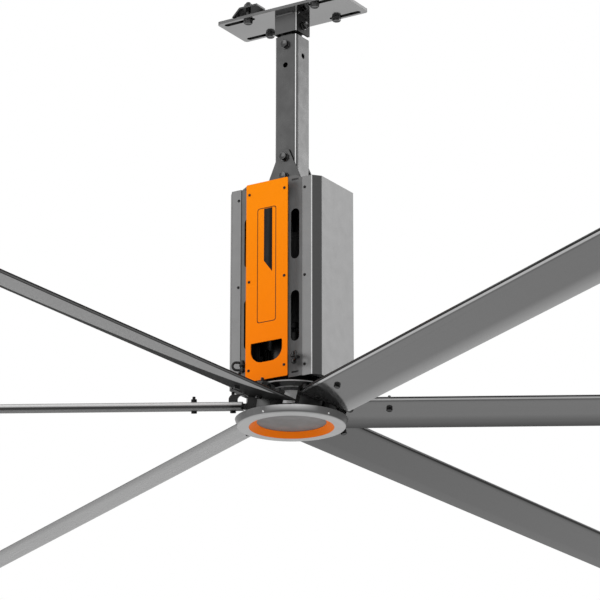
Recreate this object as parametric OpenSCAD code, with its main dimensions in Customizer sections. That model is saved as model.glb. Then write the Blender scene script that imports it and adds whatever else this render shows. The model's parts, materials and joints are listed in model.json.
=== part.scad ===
// Ceiling fan of the high-volume low-speed kind: six aerofoil blades on a
// gear motor, hung by a drop tube and a two-axis knuckle from a beam plate.
// Origin: centre of the top face of the pad on that plate. X along the plate,
// -Y to the front cover, Z up. Millimetres.

/* [Fan] */
// Diameter swept by the blade tips
fan_d = 4800; // [3000:100:6400]
// Angle of the first blade from the X axis, deg
blade_angle = 30; // [0:5:55]

/* [Ceiling plate] */
// Length of the beam plate along X
plate_l = 460; // [420:10:600]
// Width of the beam plate along Y
plate_w = 168; // [160:2:220]
// Thickness of the beam plate
plate_t = 10; // [6:1:12]
// Corner radius of the beam plate
plate_r = 10; // [4:1:20]
// Width of the four bolt slots
slot_w = 18; // [17:0.5:20]
// Distance from centre to the inner end of a slot
slot_in = 100; // [90:5:120]
// Distance from centre to the outer end of a slot
slot_out = 212; // [180:2:212]
// Distance of the slots from the long centre line
slot_y = 65; // [58:1:68]
// Distance of the clamp bolts from centre
clamp_x = 124; // [124:2:190]
// Length of the pad between plate and beam
pad_l = 190; // [160:2:196]
// Thickness of that pad
pad_t = 2; // [1:0.5:4]

/* [Beam clamps] */
// Length of the clamp's flat top
claw_l = 66; // [50:2:80]
// Width of a clamp
claw_w = 50; // [40:2:60]
// Thickness of a clamp
claw_t = 6; // [5:1:8]
// Thickest beam flange that the clamp takes
grip_h = 20; // [12:1:24]

/* [Knuckle] */
// Outside width of the U bracket under the plate
bracket_w = 84; // [82:1:90]
// Height of the U bracket
bracket_h = 62; // [56:1:66]
// Wall of the U bracket
bracket_wall = 5; // [4:0.5:6]
// Depth of the X pivot below the plate's top
pivot_x_drop = 43; // [40:1:46]
// Depth of the Y pivot below the plate's top
pivot_y_drop = 112; // [108:1:120]

/* [Drop tube] */
// Outside width of the square tube
tube_w = 80; // [76:1:82]
// Wall of the square tube
tube_wall = 5; // [4:0.5:6]
// Outside corner radius of the tube
tube_r = 8; // [6:1:12]
// Depth of the tube's top end below the plate's top
tube_top = 82; // [80:1:86]
// Length of the tube
tube_l = 510; // [400:10:1200]
// Diameter of the spare safety-cable holes
spare_d = 17; // [12:1:20]

/* [Housing] */
// Width between the flange bends on front and back
box_flange_w = 291; // [280:1:300]
// Widest width of the housing
box_w = 332; // [320:2:345]
// Depth of the housing over its flanges
box_d = 234; // [220:2:260]
// Depth of the slanting corner between front and side
bend_d = 25; // [18:1:30]
// Height of the side covers
box_h = 634; // [600:2:700]
// Gap between the tube's end and the top plate
box_gap = 8; // [4:1:20]
// Thickness of the side cover sheet
sheet_t = 2; // [1.5:0.5:2.5]
// Thickness of the front and back frame plates
frame_t = 4; // [3:0.5:6]
// Thickness of the top and bottom frame plates
deck_t = 5; // [4:0.5:8]
// Width of a ventilation slot
vent_w = 30; // [20:1:34]
// Length of a ventilation slot
vent_l = 161; // [120:1:180]
// Distance of the slots from the centre line
vent_x = 84.5; // [84:0.5:90]
// Distance between the centres of two slots, up and down
vent_pitch = 262; // [240:2:280]

/* [Front and back covers] */
// Width of the raised cover
cover_w = 150; // [130:2:150]
// How far the cover stands out
cover_d = 28.3; // [20:0.1:40]
// Thickness of the raised cover
cover_t = 3; // [2:0.5:4]
// Width of the half-round opening
mouth_w = 113; // [90:1:120]
// Height of the half-round opening
mouth_h = 64; // [50:1:70]

/* [Drive] */
// Diameter of the gearbox flange
flange_d = 250; // [230:5:250]
// Diameter of the motor body over its fins
motor_d = 150; // [130:2:160]
// Length of the motor body
motor_len = 210; // [190:5:220]
// Diameter of the output boss
boss_d = 66; // [60:1:76]
// Diameter of the gearbox output shaft
out_shaft_d = 50; // [40:1:54]

/* [Hub] */
// Diameter of the hub disc
hub_d = 276; // [270:2:280]
// Thickness of the hub disc
hub_t = 12; // [8:1:14]
// Depth of the hub disc's top below the arm centres
hub_drop = 30; // [29:1:32]
// Radial thickness of an arm seat
seat_l = 33; // [28:1:38]
// Width of an arm seat
seat_w = 72; // [70:1:80]
// Height of an arm seat over the arm's centre
seat_up = 24.5; // [20:0.5:28]
// Depth of the arm centres below the housing
arm_drop = 50; // [48:1:60]
// Diameter of the hub cap
cap_d = 344; // [320:2:344]
// Height of the cap's side
cap_h = 24; // [22:1:30]
// How far the cap's side draws in
cap_draw = 7; // [4:0.5:10]
// Diameter of the recess in the cap
recess_d = 260; // [244:2:280]
// Diameter of the disc in the recess
disc_d = 220; // [180:2:224]
// Depth of the recess in the cap
recess_h = 15; // [8:1:15]

/* [Blades] */
// Pitch of the blade's flat side, deg
pitch = 13.2; // [8:0.1:14]
// Distance from the axis to the blade's root
root_r = 148; // [146:1:160]
// Chord ahead of the arm's centre line
chord_lead = 50; // [44:1:54]
// Chord behind the arm's centre line
chord_trail = 123; // [100:1:124]
// Height of the blade's top over the arm's centre
blade_up = 14; // [12:0.5:16]
// Depth of the blade's flat side under the arm's centre
blade_down = 12; // [11:0.5:14]
// Wall of the blade
blade_wall = 2.2; // [1.8:0.1:2.5]
// Width of a blade arm
arm_w = 60; // [50:1:60]
// Distance from the axis to the outer end of an arm
arm_r = 345; // [340:5:400]
// Distance from the axis to the inner blade bolt
bolt_r1 = 178; // [176:1:190]
// Distance from the axis to the outer blade bolt
bolt_r2 = 297; // [290:1:310]

/* [Fits] */
// Radial clearance of a running fit
run_fit = 0.05; // [0.02:0.01:0.1]
// Radial clearance of a bolt hole
bolt_fit = 0.5; // [0.3:0.05:0.8]
// Gap between parts that slide on one another
slide_gap = 0.4; // [0.3:0.1:0.8]

/* [Hidden] */
$fn = 64;
e = 0.01;

// Heights, all measured down from the pad's top face
z_plate = -pad_t;
z_px = z_plate - pivot_x_drop;
z_py = z_plate - pivot_y_drop;
z_tube_top = z_plate - tube_top;
z_tube_bot = z_tube_top - tube_l;
z_box_top = z_tube_bot - box_gap;
z_box_bot = z_box_top - box_h;
z_deck_top = z_box_top;
z_deck_low = z_box_bot + 14 + deck_t;
z_flange = z_box_bot - 6;
z_arm = z_box_bot - arm_drop;
z_hub_top = z_arm - hub_drop;
z_carrier = z_hub_top - hub_t;
carrier_t = 5;
z_cap_top = z_carrier - 1;
z_cap_bot = z_cap_top - cap_h;

// Widths of the housing
chamfer = (box_w - box_flange_w) / 2;
y_out = box_d / 2;
y_plate = y_out - sheet_t;
y_in = y_plate - frame_t;
flange_in = box_flange_w / 2 - 34.1;
screw_x = box_flange_w / 2 - 25.5;
screw_z = [z_box_top - 35, z_box_top - box_h / 2, z_box_bot + 35];
post_x = cover_w / 2 - 11.5;
tab_w = 24;
y_cover = y_plate + cover_d;
flange_notch = sqrt(pow(flange_d / 2 + 2, 2) - pow(y_in, 2));

// Fasteners
m16 = 16;
m16_af = 24;
m16_head = 10;
m10 = 10;
m10_af = 17;
m5_head = 9;
m5_bore = 5.2;
m5 = 5;
m12 = 12;

// Ears that hold the tube
ear_t = 6;
ear_top = z_box_top + 135;
ear_top_w = 15.3;
ear_bot_w = 73.5;
ear_r = 8;
ear_bolt_z = [z_box_top + 109, z_box_top + 45];

// Spare holes in the tube
spare_front_z = z_py - 69;
spare_side_z = z_py - 34;

// Gear motor, stacked on the bottom deck
gear_top = z_deck_low + 158;
motor_bot = gear_top + 18;
motor_top = motor_bot + motor_len;
cowl_top = motor_top + 62;
shaft_d = 28;

arm_t = 18;
arm_up = 8;
seat_out = hub_d / 2;
arm_in = seat_out - seat_l;
seat_bolt_r = seat_out - seat_l / 2;
tip_t = 4;
blade_end = fan_d / 2 - tip_t;
blade_count = 6;

module hexagon(af, h) {
    cylinder(d = af / cos(30), h = h, $fn = 6);
}

module rounded_rect(l, w, r) {
    square([l - 2 * r, w], center = true);
    square([l, w - 2 * r], center = true);
    for (sx = [-1, 1], sy = [-1, 1])
        translate([sx * (l / 2 - r), sy * (w / 2 - r)]) circle(r = r);
}

module obround(l, w) {
    square([l - w, w], center = true);
    for (s = [-1, 1]) translate([s * (l - w) / 2, 0]) circle(d = w);
}

// Points on an arc about [x, y] from angle a0 to a1 in n steps
function arc(x, y, r, a0, a1, n) =
    [for (i = [0:n]) let (a = a0 + (a1 - a0) * i / n) [x + r * cos(a), y + r * sin(a)]];

// Hex bolt along +Z from its head's underside at 0, with washer and nut.
// grip is what it clamps; a washer sits under the head and under the nut.
module hex_bolt(d, af, head, grip, tip) {
    w_t = d / 6;
    w_d = 1.9 * d;
    translate([0, 0, -w_t - head]) hexagon(af, head);
    translate([0, 0, -w_t]) cylinder(d = w_d, h = w_t);
    translate([0, 0, -w_t - e]) cylinder(d = d, h = grip + 2 * w_t + 0.8 * d + tip);
    translate([0, 0, grip]) cylinder(d = w_d, h = w_t);
    translate([0, 0, grip + w_t]) hexagon(af, 0.8 * d);
}

// Hex head screw and washer, its head below 0 and its shank up to len
module hex_screw(d, af, head, len) {
    w_t = d / 6;
    translate([0, 0, -w_t - head]) hexagon(af, head);
    translate([0, 0, -w_t]) cylinder(d = 1.9 * d, h = w_t);
    translate([0, 0, -w_t - e]) cylinder(d = d, h = len + w_t + e);
}

// Pan head screw with its head's underside at 0, shank along -Z
module pan_screw(head_d, len) {
    translate([0, 0, -len]) cylinder(d = m5, h = len + e, $fn = 24);
    cylinder(d1 = head_d, d2 = head_d * 0.75, h = 2.4, $fn = 24);
}

// Places its children on the front (-Y) and the back of a part
module front_and_back() {
    children();
    rotate([0, 0, 180]) children();
}

// Turns a drawing's Z axis to point along -Y at the given X and Z
module facing_front(x, y, z) {
    translate([x, y, z]) rotate([90, 0, 0]) children();
}

// Thin packing that the beam's flange lies on, clear of the slots
module beam_pad() {
    color("black")
    translate([0, 0, z_plate]) linear_extrude(pad_t) rounded_rect(pad_l, plate_w - 12, 6);
}

module mount_plate() {
    color("gainsboro")
    translate([0, 0, z_plate - plate_t])
        linear_extrude(plate_t)
            difference() {
                rounded_rect(plate_l, plate_w, plate_r);
                for (sx = [-1, 1], sy = [-1, 1])
                    translate([sx * (slot_in + slot_out) / 2, sy * slot_y])
                        obround(slot_out - slot_in, slot_w);
            }
}

// U bracket with its web to the front; its side walls carry the X pivot
module plate_bracket() {
    half = bracket_w / 2;
    back = half - 2;
    r = 12;
    z0 = z_plate - plate_t - bracket_h;
    color("dimgray") {
        difference() {
            translate([0, 0, z0]) linear_extrude(bracket_h) difference() {
                rounded_rect(bracket_w, bracket_w, 8);
                translate([-half + bracket_wall, -half + bracket_wall])
                    square([bracket_w - 2 * bracket_wall, bracket_w]);
                translate([-half - 1, back]) square([bracket_w + 2, 4]);
            }
            translate([-half - 1, 0, 0]) rotate([90, 0, 90]) linear_extrude(bracket_w + 2)
                polygon(concat([[back + 1, z0 - 1], [back + 1, z0 + r]], arc(back - r, z0 + r, r, 0, -90, 8), [[back - r, z0 - 1]]));
            translate([-half - 1, 0, z_px]) rotate([0, 90, 0]) cylinder(d = m16 + 2 * bolt_fit, h = bracket_w + 2);
        }
        bracket_welds();
    }
}

module bracket_welds() {
    bead = 5;
    half = bracket_w / 2;
    for (s = [-1, 1])
        translate([s * half, 0, z_plate - plate_t])
            rotate([90, 0, 0]) linear_extrude(bracket_w - 24, center = true)
                polygon([[-s, 0], [s * bead, 0], [-s, -bead]]);
    translate([0, -half, z_plate - plate_t])
        rotate([90, 0, 90]) linear_extrude(bracket_w - 24, center = true)
            polygon([[1, 0], [-bead, 0], [1, -bead]]);
}

module pivot_bolt_x() {
    color("black")
    translate([bracket_w / 2, 0, z_px]) rotate([0, -90, 0])
        hex_bolt(m16, m16_af, m16_head, bracket_w, 4);
}

// Cross block: broad along X in the bracket, broad along Y in the tube
module knuckle() {
    in_x = bracket_w - 2 * bracket_wall - 2 * slide_gap;
    in_y = tube_w - 2 * tube_wall - 2 * slide_gap;
    neck = 44;
    z_step = z_tube_top + 5;
    color("darkslategray")
    difference() {
        union() {
            translate([-in_x / 2, 0, z_px]) rotate([0, 90, 0]) cylinder(r = 22, h = in_x);
            translate([-in_x / 2, -22, z_px - 21]) cube([in_x, 44, 21]);
            translate([-neck / 2, -neck / 2, z_py]) cube([neck, neck, z_px - z_py - 16]);
            translate([-neck / 2, -in_y / 2, z_py]) cube([neck, in_y, z_step - z_py]);
            translate([0, in_y / 2, z_py]) rotate([90, 0, 0]) cylinder(r = neck / 2, h = in_y);
        }
        translate([-in_x, 0, z_px]) rotate([0, 90, 0]) cylinder(d = m16 + 2 * run_fit, h = 2 * in_x);
        translate([0, in_y, z_py]) rotate([90, 0, 0]) cylinder(d = m16 + 2 * run_fit, h = 2 * in_y);
    }
}

module pivot_bolt_y() {
    color("black")
    facing_front(0, -tube_w / 2, z_py) rotate([180, 0, 0])
        hex_bolt(m16, m16_af, m16_head, tube_w, 4);
}

// Bent strap: flat over the beam flange, its outer end down on the plate
module beam_claw() {
    under = pad_t + grip_h;
    leg = under + claw_t;
    out = claw_l * 0.28;
    difference() {
        translate([0, claw_w / 2, 0]) rotate([90, 0, 0])
            linear_extrude(claw_w)
                polygon([
                    [claw_l - out, under], [claw_l - out, leg], [-out, leg],
                    [-out - leg + slide_gap, slide_gap], [-out - under + 2.4 + slide_gap, slide_gap],
                    [-out + 2.4, under]
                ]);
        cylinder(d = m16 + 2 * bolt_fit, h = leg + 2);
    }
}

// The bolt's head washer stays a sliding gap under the plate
module clamp_hardware() {
    translate([0, 0, -plate_t - slide_gap])
        hex_bolt(m16, m16_af, m16_head, plate_t + slide_gap + pad_t + grip_h + claw_t, 6);
}

// Corner k: 1 left front, 2 left back, 3 right front, 4 right back
module at_clamp(k) {
    sx = k <= 2 ? -1 : 1;
    sy = k % 2 == 1 ? -1 : 1;
    translate([sx * clamp_x, sy * slot_y, z_plate]) rotate([0, 0, sx < 0 ? 0 : 180]) children();
}

module beam_clamp_1() { color("black") at_clamp(1) beam_claw(); }
module beam_clamp_2() { color("black") at_clamp(2) beam_claw(); }
module beam_clamp_3() { color("black") at_clamp(3) beam_claw(); }
module beam_clamp_4() { color("black") at_clamp(4) beam_claw(); }
module clamp_bolt_1() { color("black") at_clamp(1) clamp_hardware(); }
module clamp_bolt_2() { color("black") at_clamp(2) clamp_hardware(); }
module clamp_bolt_3() { color("black") at_clamp(3) clamp_hardware(); }
module clamp_bolt_4() { color("black") at_clamp(4) clamp_hardware(); }

module drop_tube() {
    color("dimgray")
    difference() {
        translate([0, 0, z_tube_bot]) linear_extrude(tube_l) difference() {
            rounded_rect(tube_w, tube_w, tube_r);
            rounded_rect(tube_w - 2 * tube_wall, tube_w - 2 * tube_wall, tube_r - tube_wall);
        }
        translate([0, tube_w, z_py]) rotate([90, 0, 0]) cylinder(d = m16 + 2 * bolt_fit, h = 2 * tube_w);
        translate([0, tube_w, spare_front_z]) rotate([90, 0, 0]) cylinder(d = spare_d, h = 2 * tube_w);
        translate([-tube_w, 0, spare_side_z]) rotate([0, 90, 0]) cylinder(d = spare_d, h = 2 * tube_w);
        for (z = ear_bolt_z)
            translate([0, tube_w, z]) rotate([90, 0, 0]) cylinder(d = m16 + 2 * bolt_fit, h = 2 * tube_w);
    }
}

module tube_bolts() {
    color("black")
    for (z = ear_bolt_z)
        facing_front(0, -tube_w / 2 - ear_t, z) rotate([180, 0, 0])
            hex_bolt(m16, m16_af, m16_head, tube_w + 2 * ear_t, 4);
}

// Tapered plate against the tube's face, standing on the top deck.
// Its top corners are arcs that touch the top edge and the sloping sides.
module ear() {
    lean = (ear_bot_w - ear_top_w) / (ear_top - z_deck_top);
    slope = sqrt(1 + lean * lean);
    reach = ear_r * (slope - lean);
    color("dimgray")
    facing_front(0, -tube_w / 2, 0)
        linear_extrude(ear_t) difference() {
            union() {
                polygon([
                    [-ear_bot_w, z_deck_top], [ear_bot_w, z_deck_top],
                    [ear_top_w + reach * lean / slope, ear_top - reach / slope], [ear_top_w - reach, ear_top],
                    [-ear_top_w + reach, ear_top], [-ear_top_w - reach * lean / slope, ear_top - reach / slope]
                ]);
                for (s = [-1, 1]) translate([s * (ear_top_w - reach), ear_top - ear_r]) circle(r = ear_r);
            }
            for (z = ear_bolt_z) translate([0, z]) circle(d = m16 + 2 * bolt_fit);
        }
}

module ear_front() { ear(); }
module ear_rear() { rotate([0, 0, 180]) ear(); }

// Upright plate behind a raised cover: service opening, vents, tab slots and
// screw holes. Its foot is notched where the gearbox flange stands out past it.
module frame_plate() {
    half = box_flange_w / 2 - 8;
    color("dimgray")
    facing_front(0, -y_in, 0)
        linear_extrude(frame_t) difference() {
            polygon([
                [-half, z_box_bot + 2], [half, z_box_bot + 2], [half, z_box_top - 4],
                [flange_in, z_box_top - 2], [flange_in - 24, z_box_top + 11],
                [-flange_in + 24, z_box_top + 11], [-flange_in, z_box_top - 2], [-half, z_box_top - 4]
            ]);
            for (sx = [-1, 1], k = [-0.5, 0.5])
                translate([sx * vent_x, z_box_top - box_h / 2 + 8 + k * vent_pitch])
                    rotate(90) obround(vent_l, vent_w);
            for (sx = [-1, 1], z = [z_deck_top, z_deck_low])
                translate([sx * vent_x, z - deck_t / 2])
                    square([tab_w + 0.4, deck_t + 0.4], center = true);
            for (sx = [-1, 1], z = screw_z) translate([sx * screw_x, z]) circle(d = m5_bore, $fn = 24);
            translate([-flange_notch, z_box_bot - 1]) square([2 * flange_notch, z_deck_low - deck_t - z_box_bot + 1]);
            translate([0, (z_deck_low + z_deck_top) / 2 - 10]) rounded_rect(2 * (rail_x - 14), z_deck_top - z_deck_low - 80, 10);
        }
}

module frame_front() { frame_plate(); }
module frame_rear() { rotate([0, 0, 180]) frame_plate(); }

// Level plate with two tabs through each upright plate
module deck(z, hole_d) {
    color("dimgray")
    translate([0, 0, z - deck_t])
        linear_extrude(deck_t) difference() {
            union() {
                square([box_flange_w - 19, 2 * y_in], center = true);
                for (sx = [-1, 1]) translate([sx * vent_x, 0]) square([tab_w, 2 * y_plate - 1], center = true);
            }
            circle(d = hole_d);
            if (hole_d > 100) at_flange_bolts() circle(d = m12 + 2 * bolt_fit);
        }
}

module at_flange_bolts() {
    for (a = [45:90:315]) rotate(a) translate([flange_d * 0.43, 0]) children();
}

gear_d = 176;

module frame_top() { deck(z_deck_top, 40); }
module frame_bottom() { deck(z_deck_low, gear_d + 8); }

// Hex screws through the bottom deck into the gearbox flange
module flange_bolts() {
    color("silver")
    translate([0, 0, z_deck_low]) at_flange_bolts() {
        cylinder(d = 24, h = 2.5, $fn = 32);
        translate([0, 0, 2.5 - e]) hexagon(19, 7.5);
        translate([0, 0, -deck_t - 15]) cylinder(d = m12, h = deck_t + 16, $fn = 32);
    }
}

// Flat cover that stands off the upright plate on two rails
module cover_sheet() {
    h = box_h - 1;
    facing_front(0, -y_cover + cover_t, z_box_bot + h / 2)
        linear_extrude(cover_t) rounded_rect(cover_w, h, 4);
}

// Half-round opening near the foot of the front cover
module mouth() {
    r = 40;
    c = 4;
    w = mouth_w / 2;
    top = z_box_bot + 119;
    low = top - mouth_h;
    facing_front(0, -y_cover + cover_t + 1, 0)
        linear_extrude(cover_t + 2)
            polygon(concat(
                arc(w - c, top - c, c, 0, 90, 4), arc(-w + c, top - c, c, 90, 180, 4),
                arc(-w + r, low + r, r, 180, 270, 14), arc(w - r, low + r, r, 270, 360, 14)
            ));
}

// Fine groove that frames the bare label field
module label_groove() {
    w = 68;
    h = box_h - 266;
    facing_front(0, -y_cover + 0.6, z_box_top - 86 - h / 2)
        linear_extrude(1) difference() {
            rounded_rect(w, h, 8);
            rounded_rect(w - 2.4, h - 2.4, 7);
        }
}

module screw_holes(y, len, d) {
    for (sx = [-1, 1], z = screw_z)
        translate([sx * post_x, y, z]) rotate([90, 0, 0]) cylinder(d = d, h = len, center = true, $fn = 24);
}

module cover_front() {
    color("darkorange")
    difference() {
        cover_sheet();
        mouth();
        label_groove();
        screw_holes(-y_cover, 6, m5_bore);
    }
}

module cover_rear() {
    color("darkorange")
    rotate([0, 0, 180]) difference() {
        cover_sheet();
        screw_holes(-y_cover, 6, m5_bore);
    }
}

// Side cover seen from above: flange, slanting corner, side, corner, flange
module side_section(inset) {
    slant = atan2(bend_d, chamfer);
    x0 = flange_in;
    x1 = box_flange_w / 2 - inset * tan(slant / 2);
    x2 = box_w / 2 - inset;
    y1 = y_out - inset;
    y2 = y_out - bend_d - inset * tan((90 - slant) / 2);
    polygon([[x0 - inset, -y1], [x1, -y1], [x2, -y2], [x2, y2], [x1, y1], [x0 - inset, y1]]);
}

module side_cover() {
    color("silver")
    difference() {
        translate([0, 0, z_box_bot]) linear_extrude(box_h) side_section(0);
        translate([0, 0, z_box_bot + sheet_t]) linear_extrude(box_h - 2 * sheet_t) side_section(sheet_t);
        translate([0, -y_plate, z_box_bot - 1]) cube([box_flange_w / 2 - 1.5, 2 * y_plate, box_h + 2]);
        for (sy = [-1, 1], z = screw_z)
            translate([screw_x, sy * y_out, z]) rotate([90, 0, 0]) cylinder(d = m5_bore, h = 8, center = true, $fn = 24);
    }
}

module side_cover_right() { side_cover(); }
module side_cover_left() { mirror([1, 0, 0]) side_cover(); }

rail_t = 2.5;
rail_x = post_x - 7.5;

// Z rails on the upright plates; the covers are screwed to their lips
module cover_rails() {
    back = y_cover - cover_t;
    color("black")
    front_and_back()
        for (sx = [-1, 1]) mirror([sx < 0 ? 1 : 0, 0, 0]) difference() {
            union() {
                translate([0, 0, z_box_bot + 20]) linear_extrude(box_h - 40)
                    polygon([
                        [rail_x - 11, -y_plate], [rail_x + rail_t, -y_plate], [rail_x + rail_t, -back + rail_t],
                        [rail_x + 15, -back + rail_t], [rail_x + 15, -back], [rail_x, -back],
                        [rail_x, -y_plate - rail_t], [rail_x - 11, -y_plate - rail_t]
                    ]);
                for (z = screw_z) facing_front(post_x, -back + rail_t + 4, z) cylinder(d = 9, h = 4 + e, $fn = 24);
            }
            for (z = screw_z) facing_front(post_x, -back + rail_t + 5, z) cylinder(d = m5_bore, h = 10, $fn = 24);
        }
}

module cover_screws() {
    color("black")
    front_and_back() {
        for (sx = [-1, 1], z = screw_z) {
            facing_front(sx * post_x, -y_cover, z) pan_screw(m5_head, 11);
            facing_front(sx * screw_x, -y_out, z) pan_screw(m5_head, sheet_t + 2);
        }
    }
}

lug_x = vent_x + 7.5;
lug_z = z_box_bot + 60;
lug_out = 18;
lug_t = 6;
lug_r = 10;
pin_d = 8;
jaw = 16;
bow_reach = 19;

// Level eye plates for the steady cables, welded to the upright plates
module cable_lugs() {
    color("dimgray")
    front_and_back()
        for (sx = [-1, 1])
            translate([sx * lug_x, -y_plate - lug_out, lug_z - lug_t / 2])
                linear_extrude(lug_t) difference() {
                    union() {
                        translate([-lug_r, 0]) square([2 * lug_r, lug_out]);
                        circle(r = lug_r);
                    }
                    circle(d = pin_d + 2 * run_fit);
                }
}

// Bow shackle on an upright pin, its bow pointing to -Y
module shackle() {
    leg = (jaw + pin_d) / 2;
    color("black") {
        translate([0, 0, -leg - pin_d / 2 - 4]) cylinder(d = pin_d, h = 2 * leg + pin_d + 5, $fn = 32);
        translate([0, 0, leg + pin_d / 2]) cylinder(d = 1.5 * pin_d, h = 3, $fn = 32);
        for (s = [-1, 1]) {
            translate([0, 0, s * leg - pin_d / 2]) cylinder(d = 1.9 * pin_d, h = pin_d, $fn = 32);
            translate([0, 0, s * leg]) rotate([90, 0, 0]) cylinder(d = pin_d - 0.4, h = bow_reach, $fn = 32);
        }
        translate([0, -bow_reach, 0]) rotate([0, 90, 0]) rotate([0, 0, 180])
            rotate_extrude(angle = 180, $fn = 48) translate([leg, 0]) circle(d = pin_d - 0.4, $fn = 32);
    }
}

// Corner k: 1 left front, 2 right front, 3 right back, 4 left back.
// The upper jaw rests on the lug; the bow points out over the corner.
module at_lug(k) {
    sx = k == 1 || k == 4 ? -1 : 1;
    sy = k <= 2 ? -1 : 1;
    turn = sy < 0 ? sx * 45 : 180 - sx * 45;
    translate([sx * lug_x, sy * (y_plate + lug_out), lug_z + lug_t / 2 + slide_gap - jaw / 2])
        rotate([0, 0, turn]) children();
}

module shackle_1() { at_lug(1) shackle(); }
module shackle_2() { at_lug(2) shackle(); }
module shackle_3() { at_lug(3) shackle(); }
module shackle_4() { at_lug(4) shackle(); }

// Finned motor shell with end shields that carry the shaft
module motor_body() {
    fins = 20;
    len = motor_top - motor_bot;
    color("slategray")
    translate([0, 0, motor_bot]) difference() {
        union() {
            cylinder(d = motor_d - 24, h = len);
            cylinder(d = motor_d - 4, h = 16);
            translate([0, 0, len - 16]) cylinder(d = motor_d - 4, h = 16);
            for (k = [0:fins - 1]) rotate(k * 360 / fins)
                translate([motor_d / 2 - 16, -1.5, 10]) cube([16, 3, len - 20]);
        }
        translate([0, 0, 14]) cylinder(d = 96, h = len - 28);
        translate([0, 0, -1]) cylinder(d = shaft_d + 2 * run_fit, h = len + 2);
    }
}

module motor_cowl() {
    h = cowl_top - motor_top;
    color("darkslategray")
    translate([0, 0, motor_top]) difference() {
        cylinder(d = motor_d - 2, h = h);
        translate([0, 0, -1]) cylinder(d = motor_d - 6, h = h - 1);
        for (k = [0:7]) rotate(k * 45) translate([34, 0, 0]) cylinder(d = 14, h = h + 1, $fn = 24);
    }
}

module terminal_box() {
    color("darkslategray")
    difference() {
        translate([-40, motor_d / 2 - 14, motor_bot + 60]) cube([80, 40, 90]);
        translate([-37, motor_d / 2 + 2, motor_bot + 63]) cube([74, 21, 84]);
        translate([0, 0, motor_bot]) cylinder(d = motor_d + 0.6, h = motor_len);
    }
}

// Gear case on its flange; the bearing nose comes out below the deck
module gearbox() {
    under = z_deck_low - deck_t;
    color("slategray")
    difference() {
        union() {
            translate([0, 0, z_flange]) cylinder(d = flange_d, h = under - z_flange);
            translate([0, 0, z_flange - 2]) cylinder(d1 = 136, d2 = 140, h = 2 + e);
            translate([0, 0, under - e]) cylinder(d = gear_d, h = gear_top - 20 - under + e);
            translate([0, 0, gear_top - 20 - e]) cylinder(d1 = gear_d, d2 = 150, h = 20);
            translate([0, 0, gear_top - e]) cylinder(d = motor_d - 10, h = motor_bot - gear_top + e);
            for (a = [0:45:315]) rotate(a + 22.5)
                translate([gear_d / 2 - 8, -4, z_deck_low + 2]) cube([18, 8, 90]);
        }
        translate([0, 0, z_flange + 22]) cylinder(d = gear_d - 20, h = gear_top - z_flange - 44);
        translate([0, 0, gear_top - 30]) cylinder(d = shaft_d + 2 * run_fit, h = 80);
        translate([0, 0, z_flange - 5]) cylinder(d = out_shaft_d + 2 * run_fit, h = 60);
        translate([0, 0, z_flange + 2]) at_flange_bolts() cylinder(d = m12, h = 40, $fn = 32);
    }
}

// Rotor core, shaft and cooling fan of the motor
module motor_rotor() {
    len = motor_top - motor_bot;
    color("silver") {
        translate([0, 0, gear_top - 40]) cylinder(d = shaft_d, h = cowl_top - gear_top + 26);
        translate([0, 0, motor_bot + 50]) cylinder(d = 88, h = len - 100);
        translate([0, 0, motor_top + 8]) cylinder(d = 50, h = 30);
        for (k = [0:6]) rotate(k * 360 / 7) translate([20, -1.5, motor_top + 8]) cube([44, 3, 30]);
        translate([0, 0, gear_top - 58]) cylinder(d = 44, h = 20);
    }
}

// Motor control box under the top deck, against the back plate, its foot
// clear of the cowl
module drive_box() {
    w = 180;
    d = 96;
    h = z_deck_top - deck_t - cowl_top - 32;
    color("gainsboro")
    translate([-w / 2, y_in - d, z_deck_top - deck_t - h]) {
        difference() {
            cube([w, d, h]);
            translate([3, 3, 3]) cube([w - 6, d - 9, h - 6]);
        }
        for (k = [0:8]) translate([20 + k * 17, -10, 15]) cube([3, 10 + e, h - 30]);
    }
}

// Places its children at blade k in the arm's pitched frame:
// X along the arm, Y from leading to trailing edge, Z off the flat side
module at_blade(k) {
    rotate([0, 0, blade_angle + 60 * (k - 1)]) translate([0, 0, z_arm]) rotate([-pitch, 0, 0]) children();
}

// Boss under the gearbox and the shaft that runs in it
module output_boss() {
    boss_top = z_flange - 2 - slide_gap;
    color("gainsboro") {
        translate([0, 0, z_hub_top]) cylinder(d = boss_d, h = boss_top - z_hub_top);
        translate([0, 0, boss_top - e]) cylinder(d = out_shaft_d, h = 60);
    }
}

// Disc with six arm seats, each with a pitched socket
module hub() {
    color("dimgray")
    difference() {
        union() {
            translate([0, 0, z_carrier]) cylinder(d = hub_d, h = hub_t);
            intersection() {
                for (k = [1:blade_count]) at_blade(k)
                    translate([arm_in - 4, -seat_w / 2, seat_up - 70]) cube([seat_l + 8, seat_w, 70]);
                translate([0, 0, z_hub_top - e]) difference() {
                    cylinder(d = hub_d, h = 80);
                    translate([0, 0, -1]) cylinder(r = arm_in, h = 82);
                }
            }
        }
        for (k = [1:blade_count]) at_blade(k) {
            translate([arm_in - 10, -arm_w / 2, arm_up - arm_t]) cube([seat_l + 20, arm_w, arm_t]);
            translate([seat_bolt_r, 0, -20]) cylinder(d = m10, h = 60, $fn = 32);
        }
    }
}

// Screws down through strap, seat and arm
module hub_bolts() {
    color("black")
    for (k = [1:blade_count]) at_blade(k)
        translate([seat_bolt_r, 0, seat_up + strap_t]) {
            cylinder(d = 1.9 * m10, h = 1.6, $fn = 32);
            translate([0, 0, 1.6 - e]) hexagon(m10_af, 6.4);
            translate([0, 0, -seat_up - strap_t - 20]) cylinder(d = m10, h = seat_up + strap_t + 21, $fn = 32);
        }
}

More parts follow.
